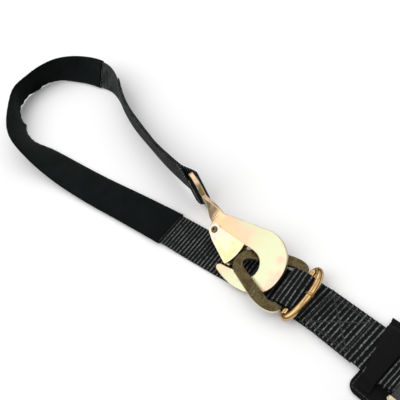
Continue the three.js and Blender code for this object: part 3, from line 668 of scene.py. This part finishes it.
def swept(name, frames, rings, shape=None):
    """A closed body along the frames. Each ring is a loop of offset and height, and two rings
    make a tube with an open middle. Its map holds metres across and along."""
    mesh = bpy.data.meshes.new(name)
    bm = bmesh.new()
    layer = bm.loops.layers.uv.new("strap")
    travelled = [0.0]
    for before, after in zip(frames, frames[1:]):
        travelled.append(travelled[-1] + (after.centre - before.centre).length * MM)
    for spot, far in zip(frames, travelled):
        spot.travelled = far
    grids = []
    for ring in rings:
        grid = []
        for spot in frames:
            row = []
            for offset, height in ring:
                push = shape(spot, offset, height) if shape else Vector()
                point = spot.centre + spot.across * offset * spot.spread + spot.face * height + push
                row.append(bm.verts.new(point * MM))
            grid.append(row)
        grids.append(grid)
    reach = {}
    for grid, ring in zip(grids, rings):
        for i, row in enumerate(grid):
            for vertex, (offset, _) in zip(row, ring):
                reach[vertex] = (offset * MM, travelled[i])
    for number, grid in enumerate(grids):
        size = len(grid[0])
        for i in range(len(grid) - 1):
            for k in range(size):
                corner = [grid[i][k], grid[i][(k + 1) % size], grid[i + 1][(k + 1) % size],
                          grid[i + 1][k]]
                bm.faces.new(corner if number == 0 else corner[::-1])
    for end, turned in ((0, False), (-1, True)):
        if len(grids) == 2:
            outer, inner = grids[0][end], grids[1][end]
            size = len(outer)
            for k in range(size):
                corner = [outer[k], inner[k], inner[(k + 1) % size], outer[(k + 1) % size]]
                bm.faces.new(corner[::-1] if turned else corner)
        else:
            row = grids[0][end]
            half = len(row) // 2
            for k in range(half - 1):
                corner = [row[k], row[-1 - k], row[-2 - k], row[k + 1]]
                bm.faces.new(corner[::-1] if turned else corner)
    for face in bm.faces:
        face.smooth = True
        for loop in face.loops:
            loop[layer].uv = reach[loop.vert]
    bmesh.ops.recalc_face_normals(bm, faces=bm.faces)
    bm.to_mesh(mesh)
    bm.free()
    piece = bpy.data.objects.new(name, mesh)
    bpy.context.scene.collection.objects.link(piece)
    return piece


def ribbed(look):
    """Grooves between the ribs, on both faces and over the selvedges."""
    def push(spot, offset, height):
        groove = 0.5 - 0.5 * math.sin(2 * math.pi * spot.travelled / look.rib_pitch)
        half = look.width / MM / 2
        move = spot.face * (-math.copysign(groove * look.rib_depth / MM, height))
        if abs(offset) > half - 0.6:
            move += spot.across * (-math.copysign(groove * look.rib_depth / MM, offset))
        return move
    return push


def strap_length(frames):
    return sum((b.centre - a.centre).length for a, b in zip(frames, frames[1:])) * MM


def own(piece, finish, body):
    """Gives a piece its finish and slot, and makes it ride on a body."""
    piece.data.materials.clear()
    piece.data.materials.append(material(finish))
    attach(piece, body)
    return piece


# ---- stamped and turned hardware ----
def select_only(piece):
    bpy.ops.object.select_all(action="DESELECT")
    piece.hide_set(False)
    piece.select_set(True)
    bpy.context.view_layer.objects.active = piece


def copy_of_node(node, name):
    """A free copy of a node's body, with its shared corners merged and its flats whole."""
    mesh = NODES[node].data.copy()
    piece = bpy.data.objects.new(name, mesh)
    bpy.context.scene.collection.objects.link(piece)
    select_only(piece)
    bpy.ops.object.mode_set(mode="EDIT")
    bpy.ops.mesh.select_all(action="SELECT")
    bpy.ops.mesh.remove_doubles(threshold=2e-6)
    bpy.ops.mesh.dissolve_limited(angle_limit=math.radians(1.2))
    bpy.ops.object.mode_set(mode="OBJECT")
    return piece


def soften(piece, width, angle=28, segments=2):
    """Rounds every hard edge and shades the rest smooth."""
    select_only(piece)
    bevel = piece.modifiers.new("edges", "BEVEL")
    bevel.width = width
    bevel.segments = segments
    bevel.limit_method = "ANGLE"
    bevel.angle_limit = math.radians(angle)
    bevel.use_clamp_overlap = True
    bpy.ops.object.modifier_apply(modifier=bevel.name)
    bpy.ops.object.shade_smooth_by_angle(angle=math.radians(32))
    flat = piece.modifiers.new("flats", "WEIGHTED_NORMAL")
    flat.keep_sharp = True
    bpy.ops.object.modifier_apply(modifier=flat.name)


def dress(node, width, angle=28, segments=2):
    """A node's body with rounded edges and its own finish."""
    slot = SLOTS[node]
    piece = copy_of_node(node, node + "_body")
    soften(piece, width, angle, segments)
    own(piece, FINISHES[slot], BODIES[node])
    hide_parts(node)
    return piece


def remesh_smooth(piece, voxel, passes):
    """One even skin over a forged shape."""
    select_only(piece)
    skin = piece.modifiers.new("skin", "REMESH")
    skin.mode = "VOXEL"
    skin.voxel_size = voxel
    bpy.ops.object.modifier_apply(modifier=skin.name)
    relax = piece.modifiers.new("relax", "SMOOTH")
    relax.factor = 0.5
    relax.iterations = passes
    bpy.ops.object.modifier_apply(modifier=relax.name)
    bpy.ops.object.shade_smooth()


def subdivide(piece, levels):
    """Rounds a wire or a coil."""
    select_only(piece)
    smooth = piece.modifiers.new("round", "SUBSURF")
    smooth.levels = levels
    smooth.render_levels = levels
    bpy.ops.object.modifier_apply(modifier=smooth.name)
    bpy.ops.object.shade_smooth()


def mark_walls(piece):
    """Stores how steep each face of a plate stands, from the height of its normal: the mask for the
    walls colour, a painted highlight on the olive ring's edges and a darker yellow on the hook's
    walls.
    """
    mesh = piece.data
    wall = mesh.attributes.new("wall", "FLOAT", "CORNER")
    for polygon in mesh.polygons:
        steep = min(max((0.62 - abs(polygon.normal.z)) / 0.2, 0), 1)
        for corner in polygon.loop_indices:
            wall.data[corner].value = steep


# ---- stitching ----
def stitch_seed():
    """One stitch: a short low thread with round ends."""
    bpy.ops.object.select_all(action="DESELECT")
    bpy.ops.mesh.primitive_cylinder_add(vertices=6, radius=0.00055, depth=0.0034,
                                        rotation=(0, math.pi / 2, 0))
    seed = bpy.context.object
    bpy.ops.object.transform_apply(location=False, rotation=True, scale=False)
    bpy.ops.object.mode_set(mode="EDIT")
    bpy.ops.mesh.select_all(action="SELECT")
    bpy.ops.mesh.bevel(offset=0.00016, segments=1)
    bpy.ops.object.mode_set(mode="OBJECT")
    mesh = seed.data
    bpy.data.objects.remove(seed)
    return mesh


def sew(name, runs, pitch=0.0042):
    """Stitches along runs. A run is a list of pairs: a point and the way up from the cloth."""
    seed = stitch_seed()
    bm = bmesh.new()
    for run in runs:
        spare = pitch / 2
        for (start, up), (end, _) in zip(run, run[1:]):
            way = end - start
            length = way.length
            while spare < length:
                side = up.cross(way).normalized()
                basis = Matrix((way.normalized(), side, up)).transposed().to_4x4()
                count = len(bm.verts)
                bm.from_mesh(seed)
                bm.verts.ensure_lookup_table()
                place = Matrix.Translation(start + way * (spare / length)) @ basis
                bmesh.ops.transform(bm, matrix=place, verts=bm.verts[count:])
                spare += pitch
            spare -= length
    mesh = bpy.data.meshes.new(name)
    bm.to_mesh(mesh)
    bm.free()
    bpy.data.meshes.remove(seed)
    piece = bpy.data.objects.new(name, mesh)
    bpy.context.scene.collection.objects.link(piece)
    select_only(piece)
    bpy.ops.object.shade_smooth()
    return own(piece, "sewing_thread", ROOT)


def on_frames(frames, path, lift):
    """Points of a run over a strap: each pair is a frame's number and an offset across."""
    run = []
    for number, offset in path:
        low = int(number)
        high = min(low + 1, len(frames) - 1)
        share = number - low
        point = frames[low].centre.lerp(frames[high].centre, share)
        across = frames[low].across.lerp(frames[high].across, share)
        face = frames[low].face.lerp(frames[high].face, share).normalized()
        run.append(((point + across * offset + face * lift) * MM, face))
    return run


def straight(start, end, count=12):
    steps = [i / count for i in range(count + 1)]
    return [(start[0] + (end[0] - start[0]) * s, start[1] + (end[1] - start[1]) * s) for s in steps]


# ---- operators ----
class TIEDOWN_OT_axle_strap(bpy.types.Operator):
    """Weave the axle strap with its eye loop"""
    bl_idname = "tiedown.axle_strap"
    bl_label = "Axle strap"

    def execute(self, context):
        look = context.scene.tie_webbing
        frames = axle_frames()
        section = web_section(look.width / MM, look.thickness / MM, 8)
        piece = swept("axle_webbing", frames, [loop_of(section)], ribbed(look))
        own(piece, "woven_webbing", ROOT)
        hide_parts("axle_strap")
        strap_length(frames)
        return {"FINISHED"}


def sleeve_push(look):
    """How the cloth of the sleeve leaves its plain shape: puckers in the bend and soft wrinkles."""
    def push(spot, offset, height):
        share = offset / PADDED[0]
        lower = max(-share, 0) ** 3
        move = Vector()
        for centre, width, size in PUCKERS:
            bell = math.exp(-((spot.station - centre) / width) ** 2)
            move += spot.face * look.pucker / MM * bell * lower * size
            move += spot.across * 2.4 * bell * lower * size
        bend = math.exp(-((spot.station - BEND_STATION) / BEND_WIDTH) ** 2)
        ridge = math.sin(spot.station * 21 + share * 2.4) * bend * (0.25 + lower)
        rumple = noise.noise(Vector((spot.station * 2.2, share * 1.4, 3.0)))
        crease = noise.noise(Vector((spot.station * 6.0, share * 2.0, 9.0)))
        facing = 1 if height >= 0 else -1
        flat = 1 - abs(share) ** 4
        move += spot.face * facing * flat * (0.35 + 0.5 * rumple + 0.25 * crease) * 0.8
        move += spot.face * ridge * 0.7
        return move
    return push


class TIEDOWN_OT_wear_sleeve(bpy.types.Operator):
    """Make the cloth sleeve over the axle loop"""
    bl_idname = "tiedown.wear_sleeve"
    bl_label = "Wear sleeve"

    def execute(self, context):
        look = context.scene.tie_sleeve
        half = look.width / MM / 2
        rise = look.thickness / MM / 2
        wall = look.wall / MM
        outer = []
        inner = []
        for i in range(25):
            share = -math.cos(math.pi * i / 24)
            height = rise * math.sqrt(max(1 - abs(share) ** 5, 0)) * 0.92
            outer.append((half * share, max(height, 0.25)))
            inner.append(((half - wall) * share, max(height - wall, 0.1)))
        frames = course_frames(SLEEVE_FROM, SLEEVE_TO, 3)
        rings = [loop_of(outer), loop_of(inner)]
        piece = swept("sleeve_tube", frames, rings, sleeve_push(look))
        own(piece, "sleeve_cloth", ROOT)
        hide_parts("wear_sleeve")
        strap_length(frames)
        return {"FINISHED"}


class TIEDOWN_OT_ratchet_strap(bpy.types.Operator):
    """Weave the short strap from the rings to the ratchet's bolt, and sew it"""
    bl_idname = "tiedown.ratchet_strap"
    bl_label = "Ratchet strap"

    def execute(self, context):
        look = context.scene.tie_webbing
        frames = ratchet_frames()
        section = web_section(look.width / MM, look.thickness / MM)
        piece = swept("ratchet_webbing", frames, [loop_of(section)], ribbed(look))
        own(piece, "woven_webbing", ROOT)
        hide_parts("ratchet_strap")
        strap_length(frames)
        return {"FINISHED"}


def plan_frames(start, end, height, count=40):
    """Frames along the top of the ratchet strap, from one x to another."""
    frames = []
    for i in range(count + 1):
        x = start + (end - start) * i / count
        slope = strap_plan(x + 0.5) - strap_plan(x - 0.5)
        along = Vector((1, slope, 0)).normalized()
        across = Vector((-along.y, along.x, 0))
        frames.append(Frame(Vector((x, strap_plan(x), height)), along, across, Vector((0, 0, 1))))
    return frames


class TIEDOWN_OT_stitching(bpy.types.Operator):
    """Sew the box, the cross and the eye loop"""
    bl_idname = "tiedown.stitching"
    bl_label = "Stitching"

    def execute(self, context):
        frames = plan_frames(*BOX_RUN, OVER_Z + PLY_TOP)
        runs = []
        last = len(frames) - 1
        for inset in BOX_INSETS:
            side = BOX_SIDE - inset
            step = inset / (BOX_RUN[1] - BOX_RUN[0]) * last
            a, b = step, last - step
            box = [(a, -side), (a, side), (b, side), (b, -side), (a, -side)]
            for start, end in zip(box, box[1:]):
                runs.append(on_frames(frames, straight(start, end), STITCH_LIFT))
        for start, end in (((1, -20), (last - 1, 20)), ((1, 20), (last - 1, -20))):
            runs.append(on_frames(frames, straight(start, end), STITCH_LIFT))
            shifted = straight((start[0] + 1.6, start[1]), (end[0] + 0.8, end[1]))
            runs.append(on_frames(frames, shifted[:-1], STITCH_LIFT))
        sew("box_stitching", runs)
        inside = course_frames(22, 27.6, 6, lambda centre: ply_spread(centre) + 1.3)
        self.sew_rows("eye_stitching", inside)
        outside = course_frames(22.4, 27.6, 6, lambda centre: -ply_spread(centre) - 1.3)
        for spot in outside:
            spot.face = -spot.face
        self.sew_rows("eye_stitching_back", outside)
        return {"FINISHED"}

    def sew_rows(self, name, frames):
        """Rows of stitches along one face of the doubled strap."""
        rows = []
        for offset in EYE_ROWS:
            path = straight((1, offset), (len(frames) - 2, offset), 40)
            rows.append(on_frames(frames, path, STITCH_LIFT))
        sew(name, rows, EYE_PITCH_M)


class TIEDOWN_OT_backing_pad(bpy.types.Operator):
    """Cut the felt pad under the ratchet, with its sewn border"""
    bl_idname = "tiedown.backing_pad"
    bl_label = "Backing pad"

    def execute(self, context):
        piece = copy_of_node("backing_pad", "felt_pad")
        soften(piece, 0.0014, 40, 3)
        own(piece, "pad_felt", ROOT)
        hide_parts("backing_pad")
        back, front = PAD_STITCH_X
        side = PAD_STITCH_Y
        corners = [(back, -side), (front, -side), (front, side), (back, side), (back, -side)]
        up = Vector((0, 0, 1))
        run = [(RATCHET_TURN @ Vector((x * MM, y * MM, PAD_TOP * MM)), up) for x, y in corners]
        sew("pad_stitching", [run])
        return {"FINISHED"}


class TIEDOWN_OT_pad_flap(bpy.types.Operator):
    """Drape the cloth keeper over the strap where it reaches the pad"""
    bl_idname = "tiedown.pad_flap"
    bl_label = "Pad flap"

    def execute(self, context):
        bpy.ops.object.select_all(action="DESELECT")
        bpy.ops.mesh.primitive_grid_add(x_subdivisions=20, y_subdivisions=48, size=1)
        flap = bpy.context.object
        flap.name = "flap_cloth"
        for vertex in flap.data.vertices:
            across = vertex.co.y * FLAP_WIDTH
            share = vertex.co.x + 0.5
            start = FLAP_START - FLAP_SKEW * across
            ragged = noise.noise(Vector((across * 0.35, 2.0, 5.0))) * 0.9 * (1 - share) ** 2
            along = start + (FLAP_END - start) * share + ragged
            vertex.co = RATCHET_TURN @ Vector((along, across, self.height(along, across))) * MM
        select_only(flap)
        thick = flap.modifiers.new("cloth", "SOLIDIFY")
        thick.thickness = 0.0015
        thick.offset = 1
        bpy.ops.object.modifier_apply(modifier=thick.name)
        soften(flap, 0.0003, 50, 2)
        bpy.ops.object.shade_smooth()
        own(flap, "pad_felt", ROOT)
        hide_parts("pad_flap")
        return {"FINISHED"}

    def height(self, along, across):
        """The cloth's underside: over both plies, down past the selvedges, and onto the pad."""
        over = 8.6 + 1.9 * min(max((along + 137) / 3.5, 0), 1)
        return over + (4.45 - over) * eased((abs(across) - 25.6) / 6.4)


class TIEDOWN_OT_hook(bpy.types.Operator):
    """Forge the snap hook, its latch, rivet and spring"""
    bl_idname = "tiedown.hook"
    bl_label = "Snap hook"

    def execute(self, context):
        edge = context.scene.tie_hardware.edge
        body = copy_of_node("hook_body", "hook_forging")
        remesh_smooth(body, 0.0006, 4)
        mark_walls(body)
        own(body, "hook_zinc", "hook")
        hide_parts("hook_body")
        dress("hook_latch", edge * 0.5)
        # The rivet keeps its slot, in a darker finish than the slot's usual one.
        own(dress("latch_rivet", edge * 0.6), "olive_zinc", "hook")
        dress("latch_spring", edge * 0.2, 60)
        return {"FINISHED"}


class TIEDOWN_OT_rings(bpy.types.Operator):
    """Make the delta ring and the dee ring with its weld"""
    bl_idname = "tiedown.rings"
    bl_label = "Rings"

    def execute(self, context):
        delta = dress("delta_ring", context.scene.tie_hardware.edge, 28, 3)
        mark_walls(delta)
        ring = copy_of_node("dee_ring", "dee_wire")
        subdivide(ring, 2)
        own(ring, "gold_plate", "dee")
        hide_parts("dee_ring")
        self.add_weld()
        return {"FINISHED"}

    def add_weld(self):
        """The lump where the ends of the dee's wire were welded, in the middle of its bow."""
        reach = Vector((math.cos(DEE_TILT), 0, math.sin(DEE_TILT))) * DEE_DEPTH
        bpy.ops.object.select_all(action="DESELECT")
        bpy.ops.mesh.primitive_torus_add(
            major_radius=0.0040, minor_radius=0.0013, major_segments=40, minor_segments=12,
            location=(DEE_BAR + reach) * MM, rotation=(math.pi / 2, 0, 0))
        weld = bpy.context.object
        weld.name = "dee_weld"
        bpy.ops.object.transform_apply(location=True, rotation=True, scale=True)
        for vertex in weld.data.vertices:
            vertex.co += Vector((0, noise.noise(vertex.co * 900) * 0.0016, 0))
        bpy.ops.object.shade_smooth()
        own(weld, "gold_plate", "dee")


class TIEDOWN_OT_ratchet(bpy.types.Operator):
    """Finish the frame, wheels, spool, pawls, springs and handle of the ratchet"""
    bl_idname = "tiedown.ratchet"
    bl_label = "Ratchet"

    def execute(self, context):
        edge = context.scene.tie_hardware.edge
        plates = ["frame_plate_left", "frame_plate_right", "handle_plate_left",
                  "handle_plate_right", "cross_plate"]
        turned = ["spool_washer_left", "spool_washer_right", "spool_half_upper",
                  "spool_half_lower", "fixed_bolt", "bolt_nut", "bolt_spacer", "spring_bar",
                  "spring_seat", "lock_pawl", "drive_pawl"]
        for node in plates + turned:
            dress(node, edge * 0.8)
        for node in ("ratchet_wheel_left", "ratchet_wheel_right"):
            dress(node, edge * 0.6)
        dress("handle_grip", edge * 3, 40, 3)
        self.wind("lock_spring", ROOT, "lock", (-20.4, 32), (5.4, 32))
        self.wind("drive_spring", "handle", "drive", (-0.6, 61.2), (14.4, 52.6))
        return {"FINISHED"}

    def wind(self, node, held_by, pushed_by, start, end):
        """A coil, rounded and finished in spring steel, where the part puts it.
        The body that holds it, the pawl that pushes it and its ends, given as x and z in the
        ratchet's own frame, are not used."""
        piece = copy_of_node(node, node + "_body")
        subdivide(piece, 1)
        piece.data.materials.clear()
        piece.data.materials.append(material("spring_steel"))
        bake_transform(piece)
        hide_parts(node)


class TIEDOWN_OT_stage(bpy.types.Operator):
    """Lay the floor, hang the lights and set the camera"""
    bl_idname = "tiedown.stage"
    bl_label = "Stage"

    def execute(self, context):
        look = context.scene.tie_stage
        bpy.ops.object.select_all(action="DESELECT")
        bpy.ops.mesh.primitive_plane_add(size=14, location=(-0.4, 0, -0.0004))
        floor = bpy.context.object
        floor.name = "floor"
        bpy.ops.object.transform_apply(location=True, rotation=True, scale=True)
        paint = Paint("floor_paint", Specular_IOR_Level=0.1, Roughness=0.9)
        grain = paint.cloud(paint.place(), 3.0, 2.0)
        low = tuple(channel * 0.985 for channel in look.floor_color)
        paint.finish(paint.mix(grain, tuple(look.floor_color), low))
        floor.data.materials.append(paint.material)
        self.hang("key", (-0.9, -0.9, 1.9), 2.3, look.key_power)
        self.hang("fill", (0.9, 1.1, 1.7), 2.0, look.key_power * 0.6)
        self.hang("rim", (-1.9, 1.0, 1.2), 1.4, look.key_power * 0.35)
        world = bpy.data.worlds.new("sky")
        world.use_nodes = True
        tree = world.node_tree
        sky = tree.nodes["Background"]
        sky.inputs["Strength"].default_value = look.sky
        way = tree.nodes.new("ShaderNodeTexCoord")
        split = tree.nodes.new("ShaderNodeSeparateXYZ")
        shade = tree.nodes.new("ShaderNodeValToRGB")
        shade.color_ramp.elements[0].position = 0.06
        shade.color_ramp.elements[0].color = (0.03, 0.025, 0.02, 1)
        shade.color_ramp.elements[1].position = 0.7
        shade.color_ramp.elements[1].color = (1, 1, 1, 1)
        path = tree.nodes.new("ShaderNodeLightPath")
        seen = tree.nodes.new("ShaderNodeMix")
        seen.data_type = "RGBA"
        seen.inputs[7].default_value = (1, 1, 1, 1)
        tree.links.new(way.outputs["Generated"], split.inputs["Vector"])
        tree.links.new(split.outputs["Z"], shade.inputs["Fac"])
        tree.links.new(path.outputs["Is Camera Ray"], seen.inputs["Factor"])
        tree.links.new(shade.outputs["Color"], seen.inputs[6])
        tree.links.new(seen.outputs[2], sky.inputs["Color"])
        context.scene.world = world
        context.scene.view_settings.view_transform = "Standard"
        self.set_camera(context)
        return {"FINISHED"}

    def hang(self, name, place, size, power):
        bpy.ops.object.light_add(type="AREA", location=place)
        lamp = bpy.context.object
        lamp.name = name
        lamp.data.size = size
        lamp.data.energy = power
        aim = STAGE_MIDDLE - Vector(place)
        lamp.rotation_euler = aim.to_track_quat("-Z", "Y").to_euler()

    def set_camera(self, context):
        bpy.ops.object.camera_add()
        camera = bpy.context.object
        back = CAMERA_RIGHT.cross(CAMERA_UP).normalized()
        turn = Matrix((CAMERA_RIGHT, CAMERA_UP, back)).transposed().to_4x4()
        camera.matrix_world = Matrix.Translation(CAMERA_PLACE) @ turn
        camera.data.lens = CAMERA_LENS
        camera.data.sensor_width = 36
        context.scene.camera = camera


class TIEDOWN_PT_panel(bpy.types.Panel):
    """Every step of the tie down, in order"""
    bl_label = "Tie Down"
    bl_idname = "TIEDOWN_PT_panel"
    bl_space_type = "VIEW_3D"
    bl_region_type = "UI"
    bl_category = "Tie Down"

    def draw(self, context):
        for operator in STEPS:
            self.layout.operator(operator.bl_idname)
        for group in GROUPS:
            settings = getattr(context.scene, group)
            for name in settings.__annotations__:
                self.layout.prop(settings, name)


GROUPS = {
    "tie_webbing": WebbingSettings,
    "tie_sleeve": SleeveSettings,
    "tie_hardware": HardwareSettings,
    "tie_stage": StageSettings,
}
STEPS = [
    TIEDOWN_OT_stage,
    TIEDOWN_OT_axle_strap,
    TIEDOWN_OT_wear_sleeve,
    TIEDOWN_OT_ratchet_strap,
    TIEDOWN_OT_stitching,
    TIEDOWN_OT_backing_pad,
    TIEDOWN_OT_pad_flap,
    TIEDOWN_OT_hook,
    TIEDOWN_OT_rings,
    TIEDOWN_OT_ratchet,
]
CLASSES = [*GROUPS.values(), *STEPS, TIEDOWN_PT_panel]


def register():
    for made in CLASSES:
        bpy.utils.register_class(made)
    for name, group in GROUPS.items():
        setattr(bpy.types.Scene, name, bpy.props.PointerProperty(type=group))


def unregister():
    for name in GROUPS:
        delattr(bpy.types.Scene, name)
    for made in reversed(CLASSES):
        bpy.utils.unregister_class(made)


def main():
    register()
    for step in STEPS:
        getattr(bpy.ops.tiedown, step.bl_idname.split(".")[1])()


if __name__ == "__main__":
    main()
